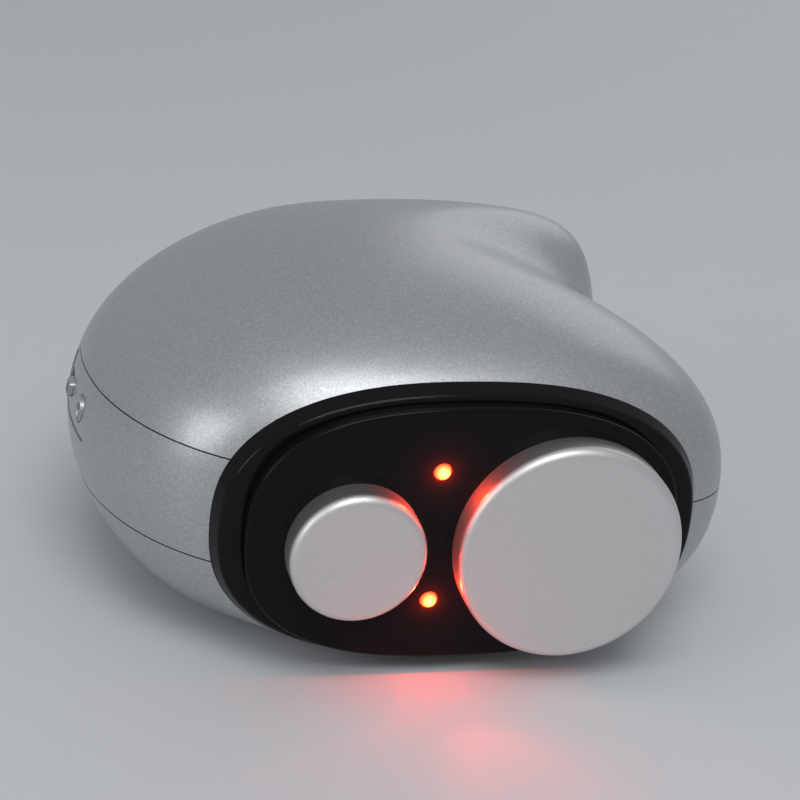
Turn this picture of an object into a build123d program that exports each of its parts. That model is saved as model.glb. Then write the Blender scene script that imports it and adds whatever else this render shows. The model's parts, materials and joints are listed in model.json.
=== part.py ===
from build123d import *
import os
from functools import cache
from math import cos, pi, radians, sin, tan

# Bioelectric massager: a palm-held body in three silver shells, standing on four feet.
# Two round metal electrodes and two red indicator lamps stand on a black oval face.
# X runs to the right of that face, Y from the electrodes to the rear and Z up from the table.
# The origin is on the table under the middle of the body. All sizes are in millimetres.

# The body
body_width = 111.5
body_length = 108.0
body_height = 62.2
wall = 2.2
seam_gap = 0.25
foot_proud = 0.8
fit = 0.15
thread_gap = 0.05

# The outline from above, as distances behind the front wall and in from the widest points
left_bulge_back = 40.0
shoulder_back = 18.5
waist_back = 44.0
hip_back = 67.0
waist_in = 12.5
hip_in = 10.5
left_reach = 42.0
right_reach = 23.8

# The outline from the side
crown_back = 41.8
crown_reach = 45.6
belly_drop = 3.2
belly_front = 16.0
belly_back = 58.0
rear_x = -2.8
rear_z = 22.0
crest_x = -2.8
crest_z = 27.5

# Corner fullness of the cross-sections: 2 is an ellipse and more is squarer
face_fullness = 2.45
left_fullness = 1.9
shoulder_fullness = 2.05
waist_fullness = 1.95
hip_fullness = 4.5
rear_fullness = 2.1
underside_fullness = 2.3

# How finely the form is drawn
section_steps = 20
front_sections = 6
rear_sections = 9
last_section_angle = 86

# How far a cut starts outside the face it opens
over = 1.0

# The seams between the shells
seam_z = 33.1
seam_spacing = 18.2
seam_roll = 6.4
seam_pitch = 3.9

# The black face
face_x = 3.85
face_z = 25.5
face_half_width = 41.2
face_half_height = 24.8
collar_proud = 3.0
collar_taper = 1.3
collar_round = 1.1
panel_half_width = 36.2
panel_half_height = 22.5
panel_fullness = 2.6
panel_proud = 2.8
panel_thickness = 4.0
panel_round = 0.7
mouth_rim = 5.7
clamp_lap = 3.3
clamp_thickness = 2.0
clamp_window_half_width = 27.0
clamp_window_half_height = 14.8

# The electrodes
electrode_proud = 5.2
large_radius = 19.0
small_radius = 11.25
electrode_spacing = 35.5
small_x = -14.75
electrode_z = 24.0
electrode_round = 1.6
stud_radius = 2.0
stud_depth = 3.0
stud_chamfer = 0.4
washer_radius = 4.5
washer_thickness = 0.8
terminal_thickness = 0.6
terminal_radius = 4.0
terminal_width = 5.0
terminal_reach = 9.0
nut_across_flats = 7.0
nut_height = 3.2
stud_end = 1.2

# The indicator lamps
lamp_radius = 1.5
lamp_x = -1.15
lamp_spacing = 23.1
lamp_middle_z = 25.35
lamp_proud = 0.6
lamp_flange_radius = 1.9
lamp_flange = 1.0
lamp_round = 1.42
lamp_pin = 0.5
lamp_pin_spacing = 2.54
lamp_board_width = 7.0
lamp_board_margin = 2.2
lamp_board_gap = 1.8
lamp_board_post_spacing = 11.0

# Boards, screws and posts
board_thickness = 1.2
board_corner = 1.0
board_post_radius = 2.0
main_post_radius = 2.4
boss_depth = 3.0
pilot_radius = 0.9
small_screw_radius = 0.85
small_screw_head_radius = 1.8
small_screw_head = 1.2
small_screw_length = 5.0
clamp_screw_spread_x = 30.0
clamp_screw_spread_z = 7.0
clamp_boss_radius = 2.6

# A screw's cross recess, as shares of its head
recess_span = 1.1
recess_slot = 0.25
recess_depth = 0.5

# The posts and screws that hold the shells together
case_post_radius = 3.4
case_post_joint_z = 14.0
case_post_front_y = -24.0
case_post_rear_y = 29.0
case_post_front_half = 30.0
case_post_rear_half = 24.5
case_post_middle_front = 2.0
case_post_middle_rear = -2.0
case_screw_radius = 1.4
case_screw_head_radius = 2.6
case_screw_head = 2.0
case_screw_sink = 5.0
case_screw_bite = 8.0

# The feet
foot_radius = 5.0
foot_recess = 1.0
foot_half_x = 18.0
foot_front_y = -26.0
foot_rear_y = 19.0

# The battery and the main board
pack_length = 50.0
pack_width = 34.0
pack_height = 7.5
pack_round = 2.0
pad_thickness = 1.0
main_board_length = 66.0
main_board_width = 41.0
main_board_y = 3.5
main_board_z = 18.0
main_board_inset = 3.5
transformer_x = -18.0
transformer_size = 15.0
transformer_height = 12.0
core_leg = 2.5
coil_radius = 5.0
capacitor_radius = 4.0
capacitor_height = 11.0
capacitor_pitch = 9.5
capacitor_round = 0.6
capacitor_x = 6.0
capacitor_back = 9.0
chip_size = 8.0
chip_height = 1.2
chip_ahead = 3.0
chip_chamfer = 0.2
header_length = 8.0
header_width = 4.0
header_height = 5.0
header_inset = 1.0

# The control panel on the rear slope
control_back = 79.0
control_x = -1.0
control_length = 35.0
control_width = 15.0
control_sunk = 0.3
control_flange = 2.0
control_flange_thickness = 1.2
button_radius = 3.9
button_pitch = 10.0
button_proud = 0.6
button_travel = 0.6
button_play = 0.3
button_collar = 1.0
button_collar_thickness = 1.0
switch_size = 6.0
switch_height = 2.5
plunger_radius = 1.7
plunger_proud = 1.0
plunger_gap = 0.1
nub_height = 1.5
control_board_width = 10.0
control_depth = 14.0
control_rise = 8.4
control_post_inset = 0.3

# The plate on the left flank with the charging socket and the power slider
plate_front_y = -14.8
plate_length = 24.0
plate_low_z = 27.0
plate_height = 8.0
plate_corner = 1.5
plate_sunk = 0.25
plate_flange = 1.6
plate_flange_thickness = 1.0
plate_depth = 9.0
plate_rise = 4.5
socket_from_end = 5.6
socket_z = 31.0
socket_bore_radius = 1.3
socket_bore_depth = 11.0
socket_width = 6.0
socket_height = 5.4
socket_length = 13.0
socket_nose_radius = 2.3
socket_sunk = 0.6
socket_body_gap = 2.2
slider_from_end = 17.3
slider_length = 4.0
slider_height = 2.6
slider_corner = 0.8
slider_travel = 3.6
slider_proud = 0.6
slider_play = 0.8
slider_flange = 1.0
slider_flange_thickness = 0.8
slide_switch_length = 9.0
slide_switch_depth = 4.0
slide_switch_height = 4.4
slide_switch_gap = 1.4
slide_switch_inset = 0.5
side_board_depth = 15.0
bracket_width = 5.0
bracket_height = 4.5
bracket_reach = 9.0
bracket_screw_back = 5.4

# The leads from the electrodes to the main board
lead_radius = 0.7
lead_drop = 6.0
lead_inset = 1.5

# Places that follow from the sizes above
tip_y = -body_length / 2
panel_y = tip_y + electrode_proud
collar_y = panel_y + panel_proud
front_y = collar_y + collar_proud
rear_y = body_length / 2
left_x = -body_width / 2
right_x = body_width / 2
crown_y = front_y + crown_back
bulge_y = front_y + left_bulge_back
shoulder_y = front_y + shoulder_back
waist_y = front_y + waist_back
hip_y = front_y + hip_back
belly_y = front_y + belly_back
belly_z = foot_proud - belly_drop
large_x = small_x + electrode_spacing
floor_z = foot_proud + wall


def bow(u, fullness=2.0):
    """How high a superellipse of size 1 stands at u from its middle."""
    return max(1 - abs(u) ** fullness, 0) ** (1 / fullness)


def ease(y, y0, y1, v0, v1):
    """A value that goes smoothly from v0 at y0 to v1 at y1."""
    u = min(max((y - y0) / (y1 - y0), 0), 1)
    return v0 + (v1 - v0) * (1 - cos(pi * u)) / 2


def swell(y, peak_y, peak, start, reach, inset):
    """A side between the front wall, where it is at start, and its peak, on one ellipse."""
    depth = (peak - start) / (1 - bow((peak_y - front_y) / reach))
    shorter = inset if depth > 0 else -inset
    return peak - depth + (depth - shorter) * bow((peak_y - y) / (reach - inset))


def close(y, peak_y, peak, middle, inset):
    """A side behind its peak, on the curve that ends in the rear's middle."""
    shorter = inset if peak > middle else -inset
    span = rear_y - inset - peak_y
    return middle + (peak - shorter - middle) * bow((y - peak_y) / span, rear_fullness)


def left_side(y, inset):
    if y < bulge_y:
        return swell(y, bulge_y, left_x, face_x - face_half_width, left_reach, inset)
    return close(y, bulge_y, left_x, rear_x, inset)


def right_side(y, inset):
    waist_x = right_x - waist_in
    hip_x = right_x - hip_in
    if y < shoulder_y:
        return swell(y, shoulder_y, right_x, face_x + face_half_width, right_reach, inset)
    if y < waist_y:
        return ease(y, shoulder_y, waist_y, right_x, waist_x) - inset
    if y < hip_y:
        return ease(y, waist_y, hip_y, waist_x, hip_x) - inset
    return close(y, hip_y, hip_x, rear_x, inset)


def top_side(y, inset):
    if y < crown_y:
        return swell(y, crown_y, body_height, face_z + face_half_height, crown_reach, inset)
    return close(y, crown_y, body_height, rear_z, inset)


def bottom_side(y, inset):
    if y < belly_y:
        return ease(y, front_y, front_y + belly_front, face_z - face_half_height, belly_z) + inset
    return close(y, belly_y, belly_z, rear_z, inset)


def outline_points(y, inset):
    """The cross-section at y, counted round from the middle of its underside."""
    settle = crown_y
    middle_x = ease(y, front_y, settle, face_x, crest_x)
    middle_z = ease(y, front_y, settle, face_z, crest_z)
    middle_z = ease(y, hip_y, rear_y, middle_z, rear_z)
    upper_left = ease(y, front_y, settle, face_fullness, left_fullness)
    lower = ease(y, front_y, settle, face_fullness, underside_fullness)
    upper_right = ease(y, front_y, shoulder_y, face_fullness, shoulder_fullness)
    upper_right = ease(y, shoulder_y, waist_y, upper_right, waist_fullness)
    upper_right = ease(y, waist_y, hip_y, upper_right, hip_fullness)
    upper_right = ease(y, hip_y, rear_y, upper_right, rear_fullness)
    left, right = middle_x - left_side(y, inset), right_side(y, inset) - middle_x
    up, down = top_side(y, inset) - middle_z, middle_z - bottom_side(y, inset)
    points = []
    for step in range(section_steps):
        angle = 2 * pi * step / section_steps - pi / 2
        across, rise = cos(angle), sin(angle)
        if rise < 0:
            fullness = lower
        else:
            fullness = upper_right if across > 0 else upper_left
        width = right if across > 0 else left
        height = up if rise > 0 else down
        sweep_x = abs(across) ** (2 / fullness) * (1 if across > 0 else -1)
        sweep_z = abs(rise) ** (2 / fullness) * (1 if rise > 0 else -1)
        points.append((middle_x + width * sweep_x, middle_z + height * sweep_z))
    return points


@cache
def form(inset):
    """The body's form, drawn in by inset all round, with its underside cut flat."""
    start = front_y + inset
    stations = [start + (crown_y - start) * (1 - cos(pi / 2 * k / front_sections))
                for k in range(front_sections)]
    reach = rear_y - inset - crown_y
    stations += [crown_y + reach * sin(radians(last_section_angle) * k / rear_sections)
                 for k in range(rear_sections + 1)]
    with BuildPart() as body:
        for y in stations:
            with BuildSketch(Plane.XZ.offset(-y)):
                with BuildLine():
                    Spline(*outline_points(y, inset), periodic=True)
                make_face()
        loft()
        split(bisect_by=Plane.XY.offset(foot_proud + inset), keep=Keep.TOP)
    return body.part


def facing(y):
    """A plane across the body at y that looks out of the face."""
    return Plane.XZ.offset(-y)


def oval(y, half_width, half_height, fullness=face_fullness):
    """A superellipse about the middle of the face, in the plane at y."""
    points = []
    for step in range(section_steps):
        angle = 2 * pi * step / section_steps - pi / 2
        across, rise = cos(angle), sin(angle)
        sweep_x = abs(across) ** (2 / fullness) * (1 if across > 0 else -1)
        sweep_z = abs(rise) ** (2 / fullness) * (1 if rise > 0 else -1)
        points.append((face_x + half_width * sweep_x, face_z + half_height * sweep_z))
    with BuildSketch(facing(y)) as shape:
        with BuildLine():
            Spline(*points, periodic=True)
        make_face()
    return shape.sketch


def skin(block, outer, inner):
    """The part of a block that lies between two insets of the body's form."""
    with BuildPart() as layer:
        add(block)
        add(form(outer), mode=Mode.INTERSECT)
        add(form(inner), mode=Mode.SUBTRACT)
    return layer.part


def columns(places, radius, low, high):
    """Round posts that stand inside the body and end in its wall."""
    with BuildPart() as posts:
        with BuildSketch(Plane.XY.offset(low)):
            with Locations(*places):
                Circle(radius)
        extrude(amount=high - low)
        add(core, mode=Mode.INTERSECT)
    return posts.part


def screws(seats, radius, length, head_radius, head_height):
    """Screws with a cross recess, each seated with its head on one of the planes."""
    with BuildPart() as group:
        for seat in seats:
            with BuildSketch(seat):
                Circle(head_radius)
            extrude(amount=head_height)
            with BuildSketch(seat):
                Circle(radius)
            extrude(amount=-length)
            with BuildSketch(seat.offset(head_height)):
                Rectangle(head_radius * recess_span, head_radius * recess_slot)
                Rectangle(head_radius * recess_slot, head_radius * recess_span)
            extrude(amount=-head_height * recess_depth, mode=Mode.SUBTRACT)
    return group.part


# The body's three shells
core = form(wall / 2)
seam_tilt = (tan(radians(seam_roll)), tan(radians(seam_pitch)), 1)
upper_seam = Plane(origin=(0, front_y, seam_z), z_dir=seam_tilt)
lower_seam = upper_seam.offset(-seam_spacing)
mouth_half_width = face_half_width - mouth_rim
mouth_half_height = face_half_height - mouth_rim

with BuildPart() as hollow:
    add(form(0))
    add(form(wall), mode=Mode.SUBTRACT)
    extrude(oval(front_y - over, mouth_half_width, mouth_half_height), amount=-wall - 2 * over,
            mode=Mode.SUBTRACT)

control_y = front_y + control_back
control_slope = top_side(control_y - 1, 0) - top_side(control_y + 1, 0)
control_plane = Plane(
    origin=(control_x, control_y, top_side(control_y, 0)), x_dir=(1, 0, 0), z_dir=(0, control_slope, 2)
)


def control_prism(length, width):
    """A round-ended block that stands through the rear slope."""
    with BuildPart() as block:
        with BuildSketch(control_plane.offset(-control_depth)):
            SlotOverall(length, width)
        extrude(amount=control_depth + control_rise)
    return block.part


def button_prism(place, radius):
    """A round block that stands through the rear slope at one of the buttons."""
    with BuildPart() as block:
        with BuildSketch(control_plane.offset(-control_depth)):
            with Locations((place * button_pitch, 0)):
                Circle(radius)
        extrude(amount=control_depth + control_rise)
    return block.part


plate_middle_y = plate_front_y + plate_length / 2
plate_middle_z = plate_low_z + plate_height / 2


def flank_prism(middle_y, middle_z, length, height, corner):
    """A block with round corners that stands through the left flank."""
    with BuildPart() as block:
        with BuildSketch(Plane.YZ.offset(left_x - plate_rise)):
            with Locations((middle_y, middle_z)):
                RectangleRounded(length, height, corner)
        extrude(amount=plate_depth + plate_rise)
    return block.part


case_posts = [
    (case_post_middle_front - case_post_front_half, case_post_front_y),
    (case_post_middle_front + case_post_front_half, case_post_front_y),
    (case_post_middle_rear - case_post_rear_half, case_post_rear_y),
    (case_post_middle_rear + case_post_rear_half, case_post_rear_y),
]

with BuildPart() as top_cover:
    add(hollow.part)
    split(bisect_by=upper_seam.offset(seam_gap / 2), keep=Keep.TOP)
    add(columns(case_posts, case_post_radius, case_post_joint_z + seam_gap, body_height))
    with BuildSketch(Plane.XY.offset(case_post_joint_z)):
        with Locations(*case_posts):
            Circle(case_screw_radius + fit)
    extrude(amount=case_screw_bite + over, mode=Mode.SUBTRACT)
    add(control_prism(control_length + 2 * fit, control_width + 2 * fit), mode=Mode.SUBTRACT)
top_cover.part.label = "top_cover"

plate_back = wall + fit + plate_flange_thickness
slider_flange_top = plate_back + slider_play
slider_low = slider_flange_top + slider_flange_thickness
switch_x = left_x + slider_low + slide_switch_gap
bracket_beyond = plate_flange + 2 * fit + bracket_width / 2
bracket_places = [plate_front_y - bracket_beyond, plate_front_y + plate_length + bracket_beyond]
side_board_length = plate_length + 2 * bracket_beyond + bracket_width
side_board_top = socket_z - socket_height / 2
side_board_low = side_board_top - board_thickness
side_board_end = switch_x + slide_switch_inset
bracket_screw_x = side_board_end + bracket_screw_back

with BuildPart() as brackets:
    for place in bracket_places:
        with BuildSketch(Plane.XY.offset(side_board_low - bracket_height)):
            with Locations((left_x, place)):
                Rectangle(2 * (side_board_end + bracket_reach - left_x), bracket_width)
        extrude(amount=bracket_height)
    add(core, mode=Mode.INTERSECT)

with BuildPart() as middle_band:
    add(hollow.part)
    split(bisect_by=upper_seam.offset(-seam_gap / 2), keep=Keep.BOTTOM)
    split(bisect_by=lower_seam.offset(seam_gap / 2), keep=Keep.TOP)
    add(flank_prism(plate_middle_y, plate_middle_z, plate_length + 2 * fit, plate_height + 2 * fit,
                    plate_corner + fit), mode=Mode.SUBTRACT)
    add(brackets.part)
    with BuildSketch(Plane.XY.offset(side_board_low)):
        with Locations(*[(bracket_screw_x, place) for place in bracket_places]):
            Circle(pilot_radius)
    extrude(amount=-bracket_height, mode=Mode.SUBTRACT)
middle_band.part.label = "middle_band"

main_board_posts = [
    (crest_x + side * (main_board_length / 2 - main_board_inset),
     main_board_y + end * (main_board_width / 2 - main_board_inset))
    for side in (-1, 1) for end in (-1, 1)
]
foot_places = [
    (crest_x + side * foot_half_x, y) for side in (-1, 1) for y in (foot_front_y, foot_rear_y)
]

with BuildPart() as bottom_cover:
    add(hollow.part)
    split(bisect_by=lower_seam.offset(-seam_gap / 2), keep=Keep.BOTTOM)
    add(columns(case_posts, case_post_radius, 0, case_post_joint_z))
    add(columns(main_board_posts, main_post_radius, 0, main_board_z))
    with BuildSketch(Plane.XY):
        with Locations(*case_posts):
            Circle(case_screw_head_radius + fit)
    extrude(amount=foot_proud + case_screw_sink, mode=Mode.SUBTRACT)
    with BuildSketch(Plane.XY):
        with Locations(*case_posts):
            Circle(case_screw_radius + fit)
    extrude(amount=case_post_joint_z + over, mode=Mode.SUBTRACT)
    with BuildSketch(Plane.XY.offset(main_board_z)):
        with Locations(*main_board_posts):
            Circle(pilot_radius)
    extrude(amount=-small_screw_length, mode=Mode.SUBTRACT)
    with BuildSketch(Plane.XY):
        with Locations(*foot_places):
            Circle(foot_radius + fit)
    extrude(amount=foot_proud + foot_recess, mode=Mode.SUBTRACT)
bottom_cover.part.label = "bottom_cover"

with BuildPart() as rubber_feet:
    with BuildSketch(Plane.XY):
        with Locations(*foot_places):
            Circle(foot_radius)
    extrude(amount=foot_proud + foot_recess)
    fillet(rubber_feet.edges().group_by(Axis.Z)[0], foot_proud / 2)
rubber_feet.part.label = "rubber_feet"

case_screw_seat = foot_proud + case_screw_sink
case_screws = screws(
    [Plane(origin=(x, y, case_screw_seat), z_dir=(0, 0, -1)) for x, y in case_posts],
    case_screw_radius, case_post_joint_z - case_screw_seat + case_screw_bite,
    case_screw_head_radius, case_screw_head,
)
case_screws.label = "case_screws"

# The black face: collar with its tray, panel and clamp
tray_y = panel_y + panel_thickness
clamp_y = front_y + wall
clamp_bosses = [
    (face_x + side * clamp_screw_spread_x, face_z + end * clamp_screw_spread_z)
    for side in (-1, 1) for end in (-1, 1)
]
studs = [(small_x, electrode_z), (large_x, electrode_z)]
lamps = [(lamp_x, lamp_middle_z + side * lamp_spacing / 2) for side in (-1, 1)]
lamp_posts = [(lamp_x, lamp_middle_z + side * lamp_board_post_spacing / 2) for side in (-1, 1)]
lamp_board_y = front_y + lamp_board_gap

with BuildPart() as face_collar:
    loft([oval(front_y, face_half_width, face_half_height),
          oval(collar_y, face_half_width - collar_taper, face_half_height - collar_taper)])
    fillet(face_collar.faces().sort_by(Axis.Y)[0].edges(), collar_round)
    extrude(oval(front_y, mouth_half_width - fit, mouth_half_height - fit), amount=-wall)
    extrude(oval(collar_y - over, panel_half_width + fit, panel_half_height + fit, panel_fullness),
            amount=-(tray_y - collar_y + over), mode=Mode.SUBTRACT)
    extrude(oval(front_y, mouth_half_width - fit - wall, mouth_half_height - fit - wall),
            amount=-wall - over, mode=Mode.SUBTRACT)
    with BuildSketch(facing(front_y)):
        with Locations(*clamp_bosses):
            Circle(clamp_boss_radius)
    extrude(amount=-wall)
    with BuildSketch(facing(front_y)):
        with Locations(*lamp_posts):
            Circle(board_post_radius)
    extrude(amount=-lamp_board_gap)
    with BuildSketch(facing(clamp_y)):
        with Locations(*clamp_bosses):
            Circle(pilot_radius)
    extrude(amount=boss_depth, mode=Mode.SUBTRACT)
    with BuildSketch(facing(lamp_board_y)):
        with Locations(*lamp_posts):
            Circle(pilot_radius)
    extrude(amount=boss_depth, mode=Mode.SUBTRACT)
    with BuildSketch(facing(tray_y - over)):
        with Locations(*studs):
            Circle(stud_radius + fit)
        with Locations(*lamps):
            Circle(lamp_flange_radius + fit)
    extrude(amount=-(front_y - tray_y + 2 * over), mode=Mode.SUBTRACT)
face_collar.part.label = "face_collar"

with BuildPart() as face_panel:
    extrude(oval(panel_y, panel_half_width, panel_half_height, panel_fullness), amount=-panel_thickness)
    fillet(face_panel.faces().sort_by(Axis.Y)[0].edges(), panel_round)
    with BuildSketch(facing(panel_y)):
        with Locations(*studs):
            Circle(stud_radius + fit)
        with Locations(*lamps):
            Circle(lamp_radius + fit)
    extrude(amount=-panel_thickness, mode=Mode.SUBTRACT)
face_panel.part.label = "face_panel"

with BuildPart() as clamp_frame:
    extrude(oval(clamp_y, mouth_half_width + clamp_lap, mouth_half_height + clamp_lap),
            amount=-clamp_thickness)
    extrude(oval(clamp_y, clamp_window_half_width, clamp_window_half_height), amount=-clamp_thickness,
            mode=Mode.SUBTRACT)
    with BuildSketch(facing(clamp_y)):
        with Locations(*clamp_bosses):
            Circle(small_screw_radius + fit)
    extrude(amount=-clamp_thickness, mode=Mode.SUBTRACT)
clamp_frame.part.label = "clamp_frame"

clamp_screws = screws(
    [Plane(origin=(x, clamp_y + clamp_thickness, z), z_dir=(0, 1, 0)) for x, z in clamp_bosses],
    small_screw_radius, clamp_thickness + boss_depth - fit, small_screw_head_radius, small_screw_head,
)
clamp_screws.label = "clamp_screws"

# The electrodes and what holds them
electrodes = []
electrode_sizes = (("electrode_small", small_x, small_radius), ("electrode_large", large_x, large_radius))
for name, x, radius in electrode_sizes:
    with BuildPart() as electrode:
        with BuildSketch(facing(tip_y)):
            with Locations((x, electrode_z)):
                Circle(radius)
        extrude(amount=-electrode_proud)
        fillet(electrode.faces().sort_by(Axis.Y)[0].edges(), electrode_round)
        with BuildSketch(facing(panel_y)):
            with Locations((x, electrode_z)):
                Circle(stud_radius)
        extrude(amount=stud_depth, mode=Mode.SUBTRACT)
    electrode.part.label = name
    electrodes.append(electrode.part)

terminal_y = front_y + washer_thickness
nut_y = terminal_y + terminal_thickness
stud_length = stud_depth + nut_y + nut_height + stud_end - panel_y

with BuildPart() as electrode_studs:
    with BuildSketch(facing(panel_y - stud_depth)):
        with Locations(*studs):
            Circle(stud_radius)
    extrude(amount=-stud_length)
    chamfer(electrode_studs.edges().group_by(Axis.Y)[-1], stud_chamfer)
electrode_studs.part.label = "electrode_studs"

with BuildPart() as stud_washers:
    with BuildSketch(facing(front_y)):
        with Locations(*studs):
            Circle(washer_radius)
            Circle(stud_radius + fit, mode=Mode.SUBTRACT)
    extrude(amount=-washer_thickness)
stud_washers.part.label = "stud_washers"

with BuildPart() as stud_terminals:
    for x, side in ((small_x, 1), (large_x, -1)):
        with BuildSketch(facing(terminal_y)):
            with Locations((x, electrode_z)):
                Circle(terminal_radius)
            with Locations((x + side * terminal_reach / 2, electrode_z)):
                Rectangle(terminal_reach, terminal_width)
            with Locations((x, electrode_z)):
                Circle(stud_radius + fit, mode=Mode.SUBTRACT)
        extrude(amount=-terminal_thickness)
stud_terminals.part.label = "stud_terminals"

with BuildPart() as stud_nuts:
    with BuildSketch(facing(nut_y)):
        with Locations(*studs):
            RegularPolygon(nut_across_flats / 2, 6, major_radius=False)
            Circle(stud_radius + thread_gap, mode=Mode.SUBTRACT)
    extrude(amount=-nut_height)
stud_nuts.part.label = "stud_nuts"

# The indicator lamps on their board
lamp_tip_y = panel_y - lamp_proud
lamp_back_y = tray_y + lamp_flange
lamp_parts = []
for name, place in zip(("lamp_lower", "lamp_upper"), lamps):
    with BuildPart() as lamp:
        with BuildSketch(facing(lamp_tip_y)):
            with Locations(place):
                Circle(lamp_radius)
        extrude(amount=-(lamp_back_y - lamp_tip_y))
        fillet(lamp.faces().sort_by(Axis.Y)[0].edges(), lamp_round)
        with BuildSketch(facing(tray_y)):
            with Locations(place):
                Circle(lamp_flange_radius)
        extrude(amount=-lamp_flange)
        for side in (-1, 1):
            with BuildSketch(facing(lamp_back_y)):
                with Locations((place[0] + side * lamp_pin_spacing / 2, place[1])):
                    Rectangle(lamp_pin, lamp_pin)
            extrude(amount=-(lamp_board_y - lamp_back_y))
    lamp.part.label = name
    lamp_parts.append(lamp.part)

with BuildPart() as lamp_board:
    with BuildSketch(facing(lamp_board_y)):
        with Locations((lamp_x, lamp_middle_z)):
            RectangleRounded(lamp_board_width, lamp_spacing + 2 * lamp_board_margin, board_corner)
        with Locations(*lamp_posts):
            Circle(small_screw_radius + fit, mode=Mode.SUBTRACT)
    extrude(amount=-board_thickness)
lamp_board.part.label = "lamp_board"

lamp_board_screws = screws(
    [Plane(origin=(x, lamp_board_y + board_thickness, z), z_dir=(0, 1, 0)) for x, z in lamp_posts],
    small_screw_radius, board_thickness + boss_depth - fit, small_screw_head_radius, small_screw_head,
)
lamp_board_screws.label = "lamp_board_screws"

# The battery and the main board
with BuildPart() as battery_pad:
    with BuildSketch(Plane.XY.offset(floor_z)):
        with Locations((crest_x, main_board_y)):
            RectangleRounded(pack_length - 2 * pack_round, pack_width - 2 * pack_round, pack_round)
    extrude(amount=pad_thickness)
battery_pad.part.label = "battery_pad"

with BuildPart() as battery_pack:
    with BuildSketch(Plane.XY.offset(floor_z + pad_thickness)):
        with Locations((crest_x, main_board_y)):
            RectangleRounded(pack_length, pack_width, pack_round)
    extrude(amount=pack_height)
    levels = battery_pack.edges().group_by(Axis.Z)
    fillet(levels[0] + levels[-1], pack_round / 2)
battery_pack.part.label = "battery_pack"

board_top = main_board_z + board_thickness

with BuildPart() as main_board:
    with BuildSketch(Plane.XY.offset(main_board_z)):
        with Locations((crest_x, main_board_y)):
            RectangleRounded(main_board_length, main_board_width, board_corner)
        with Locations(*main_board_posts):
            Circle(small_screw_radius + fit, mode=Mode.SUBTRACT)
    extrude(amount=board_thickness)
main_board.part.label = "main_board"

main_board_screws = screws(
    [Plane(origin=(x, y, board_top), z_dir=(0, 0, 1)) for x, y in main_board_posts],
    small_screw_radius, small_screw_length, small_screw_head_radius, small_screw_head,
)
main_board_screws.label = "main_board_screws"

with BuildPart() as transformer_core:
    with BuildSketch(Plane.XY.offset(board_top)):
        with Locations((transformer_x, main_board_y)):
            Rectangle(transformer_size, transformer_size)
    extrude(amount=transformer_height)
    with BuildSketch(Plane.XZ.offset(-(main_board_y - transformer_size / 2))):
        with Locations((transformer_x, board_top + transformer_height / 2)):
            Rectangle(transformer_size - 2 * core_leg, transformer_height - 2 * core_leg)
    extrude(amount=-transformer_size, mode=Mode.SUBTRACT)
transformer_core.part.label = "transformer_core"

with BuildPart() as transformer_coil:
    with BuildSketch(Plane.XY.offset(board_top + core_leg)):
        with Locations((transformer_x, main_board_y)):
            Circle(coil_radius)
    extrude(amount=transformer_height - 2 * core_leg)
transformer_coil.part.label = "transformer_coil"

capacitor_places = [
    (capacitor_x + side * capacitor_pitch / 2, main_board_y + capacitor_back) for side in (-1, 1)
]
with BuildPart() as capacitors:
    with BuildSketch(Plane.XY.offset(board_top)):
        with Locations(*capacitor_places):
            Circle(capacitor_radius)
    extrude(amount=capacitor_height)
    fillet(capacitors.edges().group_by(Axis.Z)[-1], capacitor_round)
capacitors.part.label = "capacitors"

with BuildPart() as controller_chip:
    with BuildSketch(Plane.XY.offset(board_top)):
        with Locations((capacitor_x, main_board_y - chip_ahead)):
            Rectangle(chip_size, chip_size)
    extrude(amount=chip_height)
    chamfer(controller_chip.edges().group_by(Axis.Z)[-1], chip_chamfer)
controller_chip.part.label = "controller_chip"

lead_places = [small_x + terminal_reach - lead_inset, large_x - terminal_reach + lead_inset]
header_y = main_board_y - main_board_width / 2 + header_inset + header_width / 2
with BuildPart() as lead_headers:
    with BuildSketch(Plane.XY.offset(board_top)):
        with Locations(*[(x, header_y) for x in lead_places]):
            Rectangle(header_length, header_width)
    extrude(amount=header_height)
lead_headers.part.label = "lead_headers"

header_face_y = header_y - header_width / 2
lead_end_z = board_top + header_height / 2
lead_parts = []
for name, x in zip(("lead_small", "lead_large"), lead_places):
    with BuildPart() as lead:
        with BuildLine() as route:
            bend_y = (nut_y + header_face_y) / 2
            FilletPolyline(
                (x, nut_y, electrode_z), (x, bend_y - lead_drop / 2, electrode_z),
                (x, bend_y + lead_drop / 2, lead_end_z), (x, header_face_y, lead_end_z), radius=lead_drop,
            )
        with BuildSketch(facing(nut_y)):
            with Locations((x, electrode_z)):
                Circle(lead_radius)
        sweep()
    lead.part.label = name
    lead_parts.append(lead.part)

# The control panel on the rear slope
flange_top = wall + fit
flange_low = flange_top + control_flange_thickness
cap_low = flange_low + button_play + button_collar_thickness
nub_rise = switch_height + plunger_proud + plunger_gap + button_travel
board_drop = cap_low + nub_height + nub_rise
control_board_plane = control_plane.offset(-board_drop)
control_post_x = control_length / 2 + control_flange - board_post_radius - control_post_inset
button_places = (-1, 0, 1)

bezel_block = control_prism(control_length, control_width)
rim_length = control_length + 2 * control_flange
rim_block = control_prism(rim_length, control_width + 2 * control_flange)
with BuildPart() as control_posts:
    with BuildSketch(control_board_plane):
        with Locations((-control_post_x, 0), (control_post_x, 0)):
            Circle(board_post_radius)
    extrude(amount=board_drop)
    add(form((flange_top + flange_low) / 2), mode=Mode.INTERSECT)

with BuildPart() as control_rim:
    add(rim_block)
    add(form(flange_top), mode=Mode.INTERSECT)

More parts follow.
